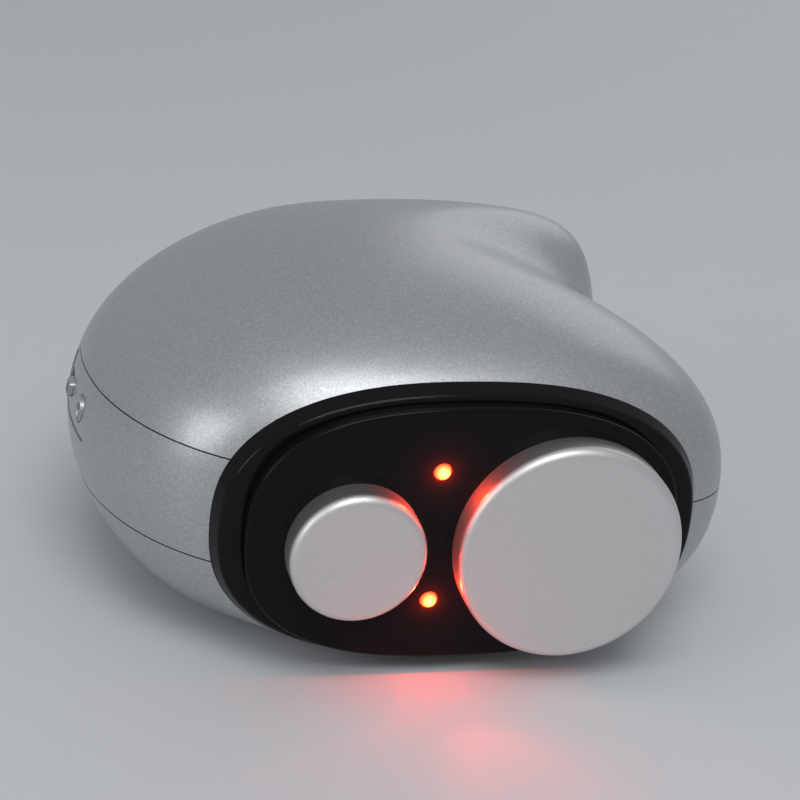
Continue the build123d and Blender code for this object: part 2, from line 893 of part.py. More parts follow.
with BuildPart() as control_panel:
    add(bezel_block)
    add(form(control_sunk), mode=Mode.INTERSECT)
    add(control_rim.part)
    add(form(flange_low), mode=Mode.SUBTRACT)
    add(control_posts.part)
    for place in button_places:
        add(button_prism(place, button_radius + button_play), mode=Mode.SUBTRACT)
    with BuildSketch(control_board_plane):
        with Locations((-control_post_x, 0), (control_post_x, 0)):
            Circle(pilot_radius)
    extrude(amount=boss_depth, mode=Mode.SUBTRACT)
control_panel.part.label = "control_panel"

button_parts = []
for name, place in zip(("button_minus", "button_mode", "button_plus"), button_places):
    with BuildPart() as button:
        add(skin(button_prism(place, button_radius), -button_proud, cap_low))
        add(skin(button_prism(place, button_radius + button_collar), flange_low + button_play, cap_low))
        with BuildSketch(control_board_plane.offset(nub_rise)):
            with Locations((place * button_pitch, 0)):
                Circle(plunger_radius)
        extrude(amount=nub_height + button_collar_thickness)
    button.part.label = name
    button_parts.append(button.part)

with BuildPart() as button_switches:
    for place in button_places:
        with BuildSketch(control_board_plane):
            with Locations((place * button_pitch, 0)):
                Rectangle(switch_size, switch_size)
        extrude(amount=switch_height)
        with BuildSketch(control_board_plane.offset(switch_height)):
            with Locations((place * button_pitch, 0)):
                Circle(plunger_radius)
        extrude(amount=plunger_proud)
button_switches.part.label = "button_switches"

with BuildPart() as control_board:
    with BuildSketch(control_board_plane):
        RectangleRounded(rim_length - 2 * fit, control_board_width, board_corner)
        with Locations((-control_post_x, 0), (control_post_x, 0)):
            Circle(small_screw_radius + fit, mode=Mode.SUBTRACT)
    extrude(amount=-board_thickness)
control_board.part.label = "control_board"

control_screw_seats = []
for side in (-1, 1):
    seat = control_board_plane.offset(-board_thickness)
    spot = seat.origin + seat.x_dir * (side * control_post_x)
    control_screw_seats.append(Plane(origin=spot, x_dir=seat.x_dir, z_dir=-seat.z_dir))
control_board_screws = screws(
    control_screw_seats, small_screw_radius, board_thickness + boss_depth - fit,
    small_screw_head_radius, small_screw_head,
)
control_board_screws.label = "control_board_screws"

# The plate on the left flank with the charging socket and the power slider
socket_y = plate_front_y + socket_from_end
slider_y = plate_front_y + slider_from_end
slot_length = slider_length + slider_travel + 2 * button_play
slot_height = slider_height + 2 * button_play

plate_block = flank_prism(plate_middle_y, plate_middle_z, plate_length, plate_height, plate_corner)
rim_block = flank_prism(plate_middle_y, plate_middle_z + plate_flange / 2, plate_length + 2 * plate_flange,
                        plate_height + plate_flange, plate_corner)
with BuildPart() as side_plate:
    add(skin(plate_block, plate_sunk, plate_back))
    add(skin(rim_block, wall + fit, plate_back))
    add(flank_prism(slider_y, socket_z, slot_length, slot_height, slider_corner + button_play),
        mode=Mode.SUBTRACT)
    with BuildSketch(Plane.YZ.offset(left_x - over)):
        with Locations((socket_y, socket_z)):
            Circle(socket_nose_radius + fit)
    extrude(amount=plate_depth, mode=Mode.SUBTRACT)
side_plate.part.label = "side_plate"

socket_face_x = left_x + plate_sunk + socket_sunk
socket_body_x = left_x + plate_back + socket_body_gap
with BuildPart() as charge_socket:
    with BuildSketch(Plane.YZ.offset(socket_body_x)):
        with Locations((socket_y, socket_z)):
            Rectangle(socket_width, socket_height)
    extrude(amount=socket_length)
    with BuildSketch(Plane.YZ.offset(socket_face_x)):
        with Locations((socket_y, socket_z)):
            Circle(socket_nose_radius)
    extrude(amount=socket_body_x - socket_face_x)
    with BuildSketch(Plane.YZ.offset(socket_face_x)):
        with Locations((socket_y, socket_z)):
            Circle(socket_bore_radius)
    extrude(amount=socket_bore_depth, mode=Mode.SUBTRACT)
charge_socket.part.label = "charge_socket"

slider_rest_y = slider_y - slider_travel / 2
knob_block = flank_prism(slider_rest_y, socket_z, slider_length, slider_height, slider_corner)
foot_block = flank_prism(slider_rest_y, socket_z, slider_length + 2 * slider_flange,
                         slider_height + 2 * slider_flange, slider_flange)
with BuildPart() as power_slider:
    add(skin(knob_block, -slider_proud, slider_low))
    add(skin(foot_block, slider_flange_top, slider_low))
power_slider.part.label = "power_slider"

with BuildPart() as slide_switch:
    with BuildSketch(Plane.XY.offset(side_board_top)):
        with Locations((switch_x + slide_switch_depth / 2, slider_y)):
            Rectangle(slide_switch_depth, slide_switch_length)
    extrude(amount=slide_switch_height)
slide_switch.part.label = "slide_switch"

with BuildPart() as side_board:
    with BuildSketch(Plane.XY.offset(side_board_low)):
        with Locations((side_board_end + side_board_depth / 2, plate_middle_y)):
            Rectangle(side_board_depth, side_board_length)
        with Locations(*[(bracket_screw_x, place) for place in bracket_places]):
            Circle(small_screw_radius + fit, mode=Mode.SUBTRACT)
    extrude(amount=board_thickness)
side_board.part.label = "side_board"

side_board_screws = screws(
    [Plane(origin=(bracket_screw_x, place, side_board_top), z_dir=(0, 0, 1)) for place in bracket_places],
    small_screw_radius, board_thickness + bracket_height - fit, small_screw_head_radius, small_screw_head,
)
side_board_screws.label = "side_board_screws"

pieces = [
    top_cover.part, middle_band.part, bottom_cover.part, rubber_feet.part, case_screws,
    face_collar.part, face_panel.part, clamp_frame.part, clamp_screws, *electrodes,
    electrode_studs.part, stud_washers.part, stud_terminals.part, stud_nuts.part,
    *lamp_parts, lamp_board.part, lamp_board_screws, battery_pad.part, battery_pack.part,
    main_board.part, main_board_screws, transformer_core.part, transformer_coil.part,
    capacitors.part, controller_chip.part, lead_headers.part, *lead_parts,
    control_panel.part, *button_parts, button_switches.part, control_board.part, control_board_screws,
    side_plate.part, charge_socket.part, power_slider.part, slide_switch.part,
    side_board.part, side_board_screws,
]
os.makedirs("parts", exist_ok=True)
for piece in pieces:
    export_step(piece, f"parts/{piece.label}.step")
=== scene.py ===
"""Dresses the massager's frame in its finishes and sets the studio round it."""

import json
from math import cos, pi, radians, sin

import bmesh
import bpy
from bpy.props import FloatProperty, FloatVectorProperty, PointerProperty
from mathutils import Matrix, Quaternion, Vector
from mathutils.bvhtree import BVHTree


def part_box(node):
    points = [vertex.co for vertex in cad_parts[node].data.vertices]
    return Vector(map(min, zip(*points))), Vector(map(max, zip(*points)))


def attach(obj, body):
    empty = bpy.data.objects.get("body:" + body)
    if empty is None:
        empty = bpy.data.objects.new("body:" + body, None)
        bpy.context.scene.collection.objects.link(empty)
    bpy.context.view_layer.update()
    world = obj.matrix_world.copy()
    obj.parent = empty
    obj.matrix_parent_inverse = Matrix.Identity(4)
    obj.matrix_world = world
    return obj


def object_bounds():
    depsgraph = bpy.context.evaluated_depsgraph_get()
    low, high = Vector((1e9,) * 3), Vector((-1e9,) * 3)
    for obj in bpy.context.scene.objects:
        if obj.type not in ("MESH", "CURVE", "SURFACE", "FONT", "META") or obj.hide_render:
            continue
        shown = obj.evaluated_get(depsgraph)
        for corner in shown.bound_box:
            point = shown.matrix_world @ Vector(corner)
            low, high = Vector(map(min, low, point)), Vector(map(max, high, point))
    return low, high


bl_info = {
    "name": "Massager dresser",
    "version": (1, 0, 0),
    "blender": (4, 5, 0),
    "location": "View3D > Sidebar > Massager",
    "description": "Gives a palm-held massager its finishes, button marks and studio",
    "category": "Object",
}

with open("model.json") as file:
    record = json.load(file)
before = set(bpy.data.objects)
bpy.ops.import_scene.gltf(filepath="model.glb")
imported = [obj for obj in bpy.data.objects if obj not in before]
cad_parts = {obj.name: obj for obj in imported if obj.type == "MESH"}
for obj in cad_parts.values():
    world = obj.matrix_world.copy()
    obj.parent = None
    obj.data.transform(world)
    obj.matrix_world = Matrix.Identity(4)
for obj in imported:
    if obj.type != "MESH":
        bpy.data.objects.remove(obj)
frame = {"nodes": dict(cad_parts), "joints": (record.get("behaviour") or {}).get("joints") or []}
cad_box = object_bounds()
nodes = frame["nodes"]
joints = {joint["name"]: joint for joint in frame["joints"]}
mm = 0.001
relief_depth = 0.05 * mm
ray_start = 20 * mm


class FinishSizes(bpy.types.PropertyGroup):
    """The colours and grain sizes of the massager's finishes."""

    silver: FloatVectorProperty(
        name="Silver", description="Paint of the three shells", subtype="COLOR", size=4,
        default=(0.40, 0.41, 0.425, 1), min=0, max=1,
    )
    flake: FloatVectorProperty(
        name="Flake", description="The bright specks in the paint", subtype="COLOR", size=4,
        default=(0.56, 0.57, 0.59, 1), min=0, max=1,
    )
    flake_size: FloatProperty(
        name="Flake size", description="Width of one speck", unit="LENGTH",
        default=0.14 * mm, min=0.02 * mm,
    )
    black: FloatVectorProperty(
        name="Black", description="The glossy face and the control panel", subtype="COLOR", size=4,
        default=(0.006, 0.006, 0.007, 1), min=0, max=1,
    )
    aluminium: FloatVectorProperty(
        name="Aluminium", description="The blasted electrodes", subtype="COLOR", size=4,
        default=(0.74, 0.73, 0.72, 1), min=0, max=1,
    )
    lamp_centre: FloatVectorProperty(
        name="Lamp centre", description="Light at the middle of a lamp", subtype="COLOR", size=4,
        default=(1.0, 0.62, 0.14, 1), min=0, max=1,
    )
    lamp_rim: FloatVectorProperty(
        name="Lamp rim", description="Light at the rim of a lamp", subtype="COLOR", size=4,
        default=(1.0, 0.03, 0.01, 1), min=0, max=1,
    )
    lamp_core: FloatProperty(
        name="Lamp core", description="Radius of a lamp's yellow middle", unit="LENGTH", default=0.3 * mm,
    )
    lamp_radius: FloatProperty(
        name="Lamp radius", description="Where a lamp's light is red", unit="LENGTH", default=1.45 * mm,
    )
    lamp_strength: FloatProperty(name="Lamp strength", description="Brightness of a lit lens", default=3.0)
    mark_height: FloatProperty(
        name="Mark height", description="How far a button mark stands up", unit="LENGTH",
        default=0.12 * mm,
    )
    mark_length: FloatProperty(
        name="Mark length", description="Length of a button mark's bar", unit="LENGTH", default=3.6 * mm,
    )
    mark_width: FloatProperty(
        name="Mark width", description="Width of a button mark's bar", unit="LENGTH", default=0.7 * mm,
    )
    ring_share: FloatProperty(
        name="Ring share", description="The ring's radius as a share of half a bar", default=0.8,
    )
    rib_pitch: FloatProperty(
        name="Rib pitch", description="From one grip rib to the next", unit="LENGTH", default=1.0 * mm,
    )
    rib_length: FloatProperty(
        name="Rib length", description="Length of a grip rib", unit="LENGTH", default=1.8 * mm,
    )
    rib_width: FloatProperty(
        name="Rib width", description="Width of a grip rib", unit="LENGTH", default=0.4 * mm,
    )
    rib_height: FloatProperty(
        name="Rib height", description="How far a grip rib stands up", unit="LENGTH", default=0.14 * mm,
    )


class StageSizes(bpy.types.PropertyGroup):
    """The floor, the lights and the camera."""

    floor: FloatVectorProperty(
        name="Floor", description="Colour of the floor", subtype="COLOR", size=4,
        default=(0.62, 0.64, 0.66, 1), min=0, max=1,
    )
    floor_size: FloatProperty(name="Floor size", description="Side of the floor", unit="LENGTH", default=6)
    world_level: FloatProperty(name="World level", description="Light from all round", default=0.42)
    key_power: FloatProperty(name="Key power", description="Softbox above", unit="POWER", default=2.2)
    key_place: FloatVectorProperty(
        name="Key place", description="Above and ahead", unit="LENGTH", default=(-0.06, -0.42, 0.70),
    )
    key_size: FloatProperty(name="Key size", description="Side of the softbox", unit="LENGTH", default=0.45)
    fill_power: FloatProperty(
        name="Fill power", description="Softbox at the left", unit="POWER", default=1.0,
    )
    fill_place: FloatVectorProperty(
        name="Fill place", description="At the left", unit="LENGTH", default=(-0.75, -0.35, 0.35),
    )
    fill_size: FloatProperty(
        name="Fill size", description="Side of the softbox", unit="LENGTH", default=0.35,
    )
    rim_power: FloatProperty(name="Rim power", description="Softbox behind", unit="POWER", default=0.45)
    rim_place: FloatVectorProperty(
        name="Rim place", description="Behind at the right", unit="LENGTH", default=(0.45, 0.60, 0.40),
    )
    rim_size: FloatProperty(name="Rim size", description="Side of the softbox", unit="LENGTH", default=0.50)
    lit_height: FloatProperty(
        name="Lit height", description="Where the softboxes point", unit="LENGTH", default=0.03,
    )
    glow_power: FloatProperty(
        name="Glow power", description="Light round one lamp", unit="POWER", default=0.006,
    )
    glow_ahead: FloatProperty(
        name="Glow ahead", description="From a lamp's front to its light", unit="LENGTH", default=0.45 * mm,
    )
    glow_radius: FloatProperty(
        name="Glow radius", description="Radius of a lamp's light", unit="LENGTH", default=0.4 * mm,
    )
    beam_power: FloatProperty(
        name="Beam power", description="Light ahead of one lamp", unit="POWER", default=0.016,
    )
    beam_angle: FloatProperty(
        name="Beam angle", description="Width of a lamp's beam", subtype="ANGLE", default=radians(50),
    )
    beam_radius: FloatProperty(
        name="Beam radius", description="Radius of a beam's source", unit="LENGTH", default=1.5 * mm,
    )
    beam_reach: FloatProperty(
        name="Beam reach", description="How far ahead the floor is lit", unit="LENGTH", default=30 * mm,
    )
    beam_shift: FloatProperty(
        name="Beam shift", description="How far aside the floor is lit", unit="LENGTH", default=9 * mm,
    )
    camera_place: FloatVectorProperty(
        name="Camera", description="Where it stands", unit="LENGTH", default=(-0.09475, -0.354, 0.1833),
    )
    camera_target: FloatVectorProperty(
        name="Target", description="What it looks at", unit="LENGTH", default=(-0.0031, -0.0256, 0.0395),
    )
    camera_roll: FloatProperty(
        name="Roll", description="Tilt of the camera", subtype="ANGLE", default=radians(5.9),
    )
    lens: FloatProperty(name="Lens", description="Focal length in millimetres", default=99)
    sensor: FloatProperty(name="Sensor", description="Sensor width in millimetres", default=36)


def start_group(name, inputs, outputs):
    """A shader node group with its sockets, and its input and output nodes."""
    group = bpy.data.node_groups.new(name, "ShaderNodeTree")
    for label, kind, value in inputs:
        socket = group.interface.new_socket(name=label, in_out="INPUT", socket_type=kind)
        socket.default_value = value
    for label, kind in outputs:
        group.interface.new_socket(name=label, in_out="OUTPUT", socket_type=kind)
    return group, group.nodes.new("NodeGroupInput"), group.nodes.new("NodeGroupOutput")


def metal_flake_group():
    """Paint with bright specks: its colour, its roughness and the specks' height."""
    group, given, result = start_group(
        "Metal flake",
        [("Paint", "NodeSocketColor", (0.5, 0.5, 0.5, 1)), ("Flake", "NodeSocketColor", (0.9, 0.9, 0.9, 1)),
         ("Scale", "NodeSocketFloat", 4000.0), ("Dull", "NodeSocketFloat", 0.4),
         ("Bright", "NodeSocketFloat", 0.3)],
        [("Color", "NodeSocketColor"), ("Roughness", "NodeSocketFloat"), ("Height", "NodeSocketFloat")],
    )
    new, join = group.nodes.new, group.links.new
    place = new("ShaderNodeTexCoord")
    cells = new("ShaderNodeTexVoronoi")
    share = new("ShaderNodeSeparateColor")
    speck = new("ShaderNodeMapRange")
    speck.inputs["From Min"].default_value = 0.45
    speck.inputs["From Max"].default_value = 1.0
    mix = new("ShaderNodeMix")
    mix.data_type = "RGBA"
    rough = new("ShaderNodeMapRange")
    join(place.outputs["Object"], cells.inputs["Vector"])
    join(given.outputs["Scale"], cells.inputs["Scale"])
    join(cells.outputs["Color"], share.inputs["Color"])
    join(share.outputs["Red"], speck.inputs["Value"])
    join(speck.outputs["Result"], mix.inputs["Factor"])
    join(given.outputs["Paint"], mix.inputs["A"])
    join(given.outputs["Flake"], mix.inputs["B"])
    join(share.outputs["Green"], rough.inputs["Value"])
    join(given.outputs["Dull"], rough.inputs["To Min"])
    join(given.outputs["Bright"], rough.inputs["To Max"])
    join(mix.outputs["Result"], result.inputs["Color"])
    join(rough.outputs["Result"], result.inputs["Roughness"])
    join(share.outputs["Blue"], result.inputs["Height"])
    return group


def fine_grain_group():
    """A fine even grain: a colour that varies a little, a roughness and a height."""
    group, given, result = start_group(
        "Fine grain",
        [("Color", "NodeSocketColor", (0.5, 0.5, 0.5, 1)), ("Scale", "NodeSocketFloat", 3000.0),
         ("Variation", "NodeSocketFloat", 0.1), ("Smooth", "NodeSocketFloat", 0.35),
         ("Rough", "NodeSocketFloat", 0.5)],
        [("Color", "NodeSocketColor"), ("Roughness", "NodeSocketFloat"), ("Height", "NodeSocketFloat")],
    )
    new, join = group.nodes.new, group.links.new
    place = new("ShaderNodeTexCoord")
    grain = new("ShaderNodeTexNoise")
    grain.inputs["Detail"].default_value = 3
    patches = new("ShaderNodeTexNoise")
    patches.inputs["Scale"].default_value = 60
    shade = new("ShaderNodeHueSaturation")
    level = new("ShaderNodeMath")
    level.operation = "MULTIPLY_ADD"
    centre = new("ShaderNodeMath")
    centre.operation = "SUBTRACT"
    centre.inputs[0].default_value = 1.0
    half = new("ShaderNodeMath")
    half.operation = "MULTIPLY"
    half.inputs[1].default_value = 0.5
    rough = new("ShaderNodeMapRange")
    join(place.outputs["Object"], grain.inputs["Vector"])
    join(given.outputs["Scale"], grain.inputs["Scale"])
    join(place.outputs["Object"], patches.inputs["Vector"])
    join(given.outputs["Variation"], half.inputs[0])
    join(half.outputs[0], centre.inputs[1])
    join(grain.outputs["Fac"], level.inputs[0])
    join(given.outputs["Variation"], level.inputs[1])
    join(centre.outputs[0], level.inputs[2])
    join(given.outputs["Color"], shade.inputs["Color"])
    join(level.outputs[0], shade.inputs["Value"])
    join(patches.outputs["Fac"], rough.inputs["Value"])
    join(given.outputs["Smooth"], rough.inputs["To Min"])
    join(given.outputs["Rough"], rough.inputs["To Max"])
    join(shade.outputs["Color"], result.inputs["Color"])
    join(rough.outputs["Result"], result.inputs["Roughness"])
    join(grain.outputs["Fac"], result.inputs["Height"])
    return group


def finish(name, group, values, metallic, bump, coat=0.0, coat_roughness=0.05, specular=0.5):
    """A material whose colour, roughness and bump come from one of the groups."""
    material = bpy.data.materials.new(name)
    material.use_nodes = True
    tree = material.node_tree
    shader = tree.nodes["Principled BSDF"]
    shader.inputs["Metallic"].default_value = metallic
    shader.inputs["Coat Weight"].default_value = coat
    shader.inputs["Coat Roughness"].default_value = coat_roughness
    shader.inputs["Specular IOR Level"].default_value = specular
    effect = tree.nodes.new("ShaderNodeGroup")
    effect.node_tree = group
    for label, value in values.items():
        effect.inputs[label].default_value = value
    relief = tree.nodes.new("ShaderNodeBump")
    relief.inputs["Strength"].default_value = bump
    relief.inputs["Distance"].default_value = relief_depth
    tree.links.new(effect.outputs["Color"], shader.inputs["Base Color"])
    tree.links.new(effect.outputs["Roughness"], shader.inputs["Roughness"])
    tree.links.new(effect.outputs["Height"], relief.inputs["Height"])
    tree.links.new(relief.outputs["Normal"], shader.inputs["Normal"])
    return material


def group_named(name):
    """A shader group, built the first time that it is asked for."""
    makers = {"Metal flake": metal_flake_group, "Fine grain": fine_grain_group}
    return bpy.data.node_groups.get(name) or makers[name]()


def flake_paint(name, sizes):
    """The silver paint with its thin clear coat."""
    group = group_named("Metal flake")
    values = {"Paint": sizes.silver, "Flake": sizes.flake, "Scale": 1 / sizes.flake_size}
    values |= {"Dull": 0.43, "Bright": 0.35}
    return finish(name, group, values, metallic=0.75, bump=0.03, coat=0.2, coat_roughness=0.14)


def grained(name, colour, grain, smooth, rough, metallic=0.0, bump=0.1, variation=0.08, specular=0.5):
    """A moulded, blasted or printed surface with a grain of that width in millimetres."""
    values = {"Color": (*colour[:3], 1), "Scale": 1 / (grain * mm), "Variation": variation}
    values |= {"Smooth": smooth, "Rough": rough}
    return finish(name, group_named("Fine grain"), values, metallic, bump, specular=specular)


def lamp_light(name, node, sizes):
    """A lit lens: yellow in its middle and red at its rim."""
    low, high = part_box(node)
    material = grained(name, (0.5, 0.02, 0.01), 0.3, 0.06, 0.12, bump=0.02)
    tree = material.node_tree
    new, join = tree.nodes.new, tree.links.new
    shader = tree.nodes["Principled BSDF"]
    place = new("ShaderNodeTexCoord")
    offset = new("ShaderNodeVectorMath")
    offset.operation = "SUBTRACT"
    offset.inputs[1].default_value = ((low.x + high.x) / 2, 0, (low.z + high.z) / 2)
    flat = new("ShaderNodeVectorMath")
    flat.operation = "MULTIPLY"
    flat.inputs[1].default_value = (1, 0, 1)
    reach = new("ShaderNodeVectorMath")
    reach.operation = "LENGTH"
    spread = new("ShaderNodeMapRange")
    spread.inputs["From Min"].default_value = sizes.lamp_core
    spread.inputs["From Max"].default_value = sizes.lamp_radius
    mix = new("ShaderNodeMix")
    mix.data_type = "RGBA"
    mix.inputs["A"].default_value = sizes.lamp_centre
    mix.inputs["B"].default_value = sizes.lamp_rim
    join(place.outputs["Object"], offset.inputs[0])
    join(offset.outputs[0], flat.inputs[0])
    join(flat.outputs[0], reach.inputs[0])
    join(reach.outputs["Value"], spread.inputs["Value"])
    join(spread.outputs["Result"], mix.inputs["Factor"])
    join(mix.outputs["Result"], shader.inputs["Emission Color"])
    shader.inputs["Emission Strength"].default_value = sizes.lamp_strength
    return material


def lamp_glow(name, kind, place, power, sizes):
    """A small red light at a lamp."""
    light = bpy.data.lights.new(name, kind)
    light.energy = power
    light.color = sizes.lamp_rim[:3]
    lit = bpy.data.objects.new(name, light)
    lit.location = place
    lit.visible_camera = False
    bpy.context.scene.collection.objects.link(lit)
    return light


def dress(names, material):
    """Gives CAD nodes their material."""
    for name in names:
        mesh = nodes[name].data
        mesh.materials.clear()
        mesh.materials.append(material)


def surface_of(name):
    """A CAD node's surface, to lay small pieces on."""
    mesh = nodes[name].data
    return BVHTree.FromPolygons([v.co for v in mesh.vertices], [p.vertices for p in mesh.polygons])


def laid_strip(bm, surface, line, width, out, height, closed=False):
    """A low raised strip along a line of points, laid on a surface and rounded at its edges."""
    profile = [(-0.5, -0.5), (-0.42, 0.6), (-0.25, 1.0), (0.25, 1.0), (0.42, 0.6), (0.5, -0.5)]
    rings = []
    for index, point in enumerate(line):
        before = line[index - 1] if closed or index else point
        after = line[(index + 1) % len(line)] if closed or index < len(line) - 1 else point
        along = (after - before).normalized()
        side = along.cross(out).normalized()
        ring = []
        for shift, rise in profile:
            spot = point + side * (shift * width)
            found = surface.ray_cast(spot + out * ray_start, -out)[0]
            if found is None:
                raise RuntimeError("a raised strip lies off its surface")
            ring.append(bm.verts.new(found + out * (rise * height)))
        rings.append(ring)
    pairs = list(zip(rings, rings[1:])) + ([(rings[-1], rings[0])] if closed else [])
    for first, second in pairs:
        for k in range(len(profile)):
            n = (k + 1) % len(profile)
            bm.faces.new((first[k], first[n], second[n], second[k]))
    if not closed:
        bm.faces.new(rings[0][::-1])
        bm.faces.new(rings[-1])


def piece_from(bm, name, material, body):
    """A shown piece from a finished bmesh."""
    bmesh.ops.recalc_face_normals(bm, faces=bm.faces)
    mesh = bpy.data.meshes.new(name)
    bm.to_mesh(mesh)
    bm.free()
    mesh.shade_smooth()
    mesh.materials.append(material)
    piece = bpy.data.objects.new(name, mesh)
    bpy.context.scene.collection.objects.link(piece)
    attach(piece, body)
    return piece


class MASSAGER_OT_shells(bpy.types.Operator):
    """Paint the three shells silver"""

    bl_idname = "massager.shells"
    bl_label = "Shells"

    def execute(self, context):
        sizes = context.scene.massager_finish
        paint = flake_paint("shell paint", sizes)
        dress(["top_cover", "middle_band", "bottom_cover", "side_plate", "power_slider"], paint)
        return {"FINISHED"}


class MASSAGER_OT_face(bpy.types.Operator):
    """Give the oval face and its clamp their black mouldings"""

    bl_idname = "massager.face"
    bl_label = "Face"

    def execute(self, context):
        sizes = context.scene.massager_finish
        collar_gloss = grained("collar gloss", sizes.black, 0.8, 0.10, 0.17, bump=0.015, specular=0.14)
        dress(["face_collar"], collar_gloss)
        panel_gloss = grained("panel gloss", sizes.black, 0.8, 0.07, 0.13, bump=0.01, specular=0.1)
        dress(["face_panel"], panel_gloss)
        dress(["clamp_frame"], grained("clamp moulding", (0.03, 0.03, 0.03), 0.25, 0.5, 0.65, bump=0.2))
        return {"FINISHED"}


class MASSAGER_OT_electrodes(bpy.types.Operator):
    """Blast the two electrodes and plate what holds them"""

    bl_idname = "massager.electrodes"
    bl_label = "Electrodes"

    def execute(self, context):
        sizes = context.scene.massager_finish
        blasted = grained(
            "blasted aluminium", sizes.aluminium, 0.16, 0.40, 0.48, metallic=1.0, bump=0.35, variation=0.28,
        )
        dress(["electrode_small", "electrode_large"], blasted)
        plated = grained("plated steel", (0.62, 0.61, 0.58), 0.4, 0.22, 0.34, metallic=1.0, bump=0.05)
        dress(["electrode_studs", "stud_washers", "stud_nuts"], plated)
        dress(["stud_terminals"], grained("tinned brass", (0.72, 0.58, 0.32), 0.3, 0.25, 0.4, metallic=1.0))
        return {"FINISHED"}


class MASSAGER_OT_lamps(bpy.types.Operator):
    """Light the two indicator lamps"""

    bl_idname = "massager.lamps"
    bl_label = "Lamps"

    def execute(self, context):
        sizes = context.scene.massager_finish
        stage = context.scene.massager_stage
        for name in ("lamp_lower", "lamp_upper"):
            dress([name], lamp_light(f"{name} lens", name, sizes))
            low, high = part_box(name)
            place = Vector(((low.x + high.x) / 2, low.y - stage.glow_ahead, (low.z + high.z) / 2))
            glow = lamp_glow(f"{name}_glow", "POINT", place, stage.glow_power, sizes)
            glow.shadow_soft_size = stage.glow_radius
            beam = lamp_glow(f"{name}_beam", "SPOT", place, stage.beam_power, sizes)
            beam.spot_size = stage.beam_angle
            beam.spot_blend = 1.0
            beam.shadow_soft_size = stage.beam_radius
            aim = Vector((place.x + stage.beam_shift, cad_box[0].y - stage.beam_reach, 0)) - place
            bpy.data.objects[f"{name}_beam"].rotation_euler = aim.to_track_quat("-Z", "Y").to_euler()
        return {"FINISHED"}


class MASSAGER_OT_controls(bpy.types.Operator):
    """Finish the control panel and lay a raised mark on each button"""

    bl_idname = "massager.controls"
    bl_label = "Controls"

    def execute(self, context):
        sizes = context.scene.massager_finish
        gloss = grained("control panel gloss", sizes.black, 0.8, 0.10, 0.18, bump=0.015, specular=0.22)
        dress(["control_panel"], gloss)
        buttons = ("button_minus", "button_mode", "button_plus")
        dress(buttons, flake_paint("key paint", sizes))
        ink = grained("mark moulding", (0.02, 0.02, 0.022), 0.2, 0.35, 0.45, bump=0.1)
        half, width, height = sizes.mark_length / 2, sizes.mark_width, sizes.mark_height
        ring_radius = half * sizes.ring_share
        bar_parts, arm_parts, ring_parts = 12, 6, 40
        bar_reaches = [half * (2 * k / bar_parts - 1) for k in range(bar_parts + 1)]
        arm_reaches = [width / 2 + (half - width / 2) * k / arm_parts for k in range(arm_parts + 1)]
        turns = [2 * pi * k / ring_parts for k in range(ring_parts)]
        for name in buttons:
            out = -Vector(joints[f"{name}_press"]["axis"]).normalized()
            right = Vector((1, 0, 0))
            up = out.cross(right).normalized()
            low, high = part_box(name)
            middle = (low + high) / 2
            surface = surface_of(name)
            bm = bmesh.new()
            if name == "button_mode":
                ring = [middle + (right * cos(turn) + up * sin(turn)) * ring_radius for turn in turns]
                laid_strip(bm, surface, ring, width, out, height, closed=True)
            else:
                bar = [middle + right * reach for reach in bar_reaches]
                laid_strip(bm, surface, bar, width, out, height)
            if name == "button_plus":
                for side in (-1, 1):
                    arm = [middle + up * side * reach for reach in arm_reaches]
                    laid_strip(bm, surface, arm, width, out, height)
            piece_from(bm, f"{name}_mark", ink, name)
        return {"FINISHED"}


class MASSAGER_OT_flank(bpy.types.Operator):
    """Paint the socket like the shells, and lay grip ribs on the power slider"""

    bl_idname = "massager.flank"
    bl_label = "Flank"

    def execute(self, context):
        sizes = context.scene.massager_finish
        moulding = grained("grip moulding", (0.20, 0.205, 0.21), 0.2, 0.38, 0.52, bump=0.15)
        dress(["charge_socket"], flake_paint("socket paint", sizes))
        low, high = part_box("power_slider")
        middle = (low + high) / 2
        surface = surface_of("power_slider")
        out = Vector((-1, 0, 0))
        bm = bmesh.new()
        for place in (-1, 0, 1):
            shares = (-0.5, -0.25, 0, 0.25, 0.5)
            line = [middle + Vector((0, place * sizes.rib_pitch, s * sizes.rib_length)) for s in shares]
            laid_strip(bm, surface, line, sizes.rib_width, out, sizes.rib_height)
        piece_from(bm, "slider_grip", moulding, "power_slider")
        return {"FINISHED"}


class MASSAGER_OT_base(bpy.types.Operator):
    """Finish the feet and the case screws"""

    bl_idname = "massager.base"
    bl_label = "Base"

    def execute(self, context):
        dress(["rubber_feet"], grained("foot rubber", (0.03, 0.03, 0.03), 0.3, 0.7, 0.85, bump=0.4))
        screws = grained("screw steel", (0.6, 0.6, 0.6), 0.4, 0.2, 0.34, metallic=1.0, bump=0.05)
        groups = ["case_screws", "clamp_screws", "lamp_board_screws", "main_board_screws"]
        dress([*groups, "control_board_screws", "side_board_screws"], screws)
        return {"FINISHED"}


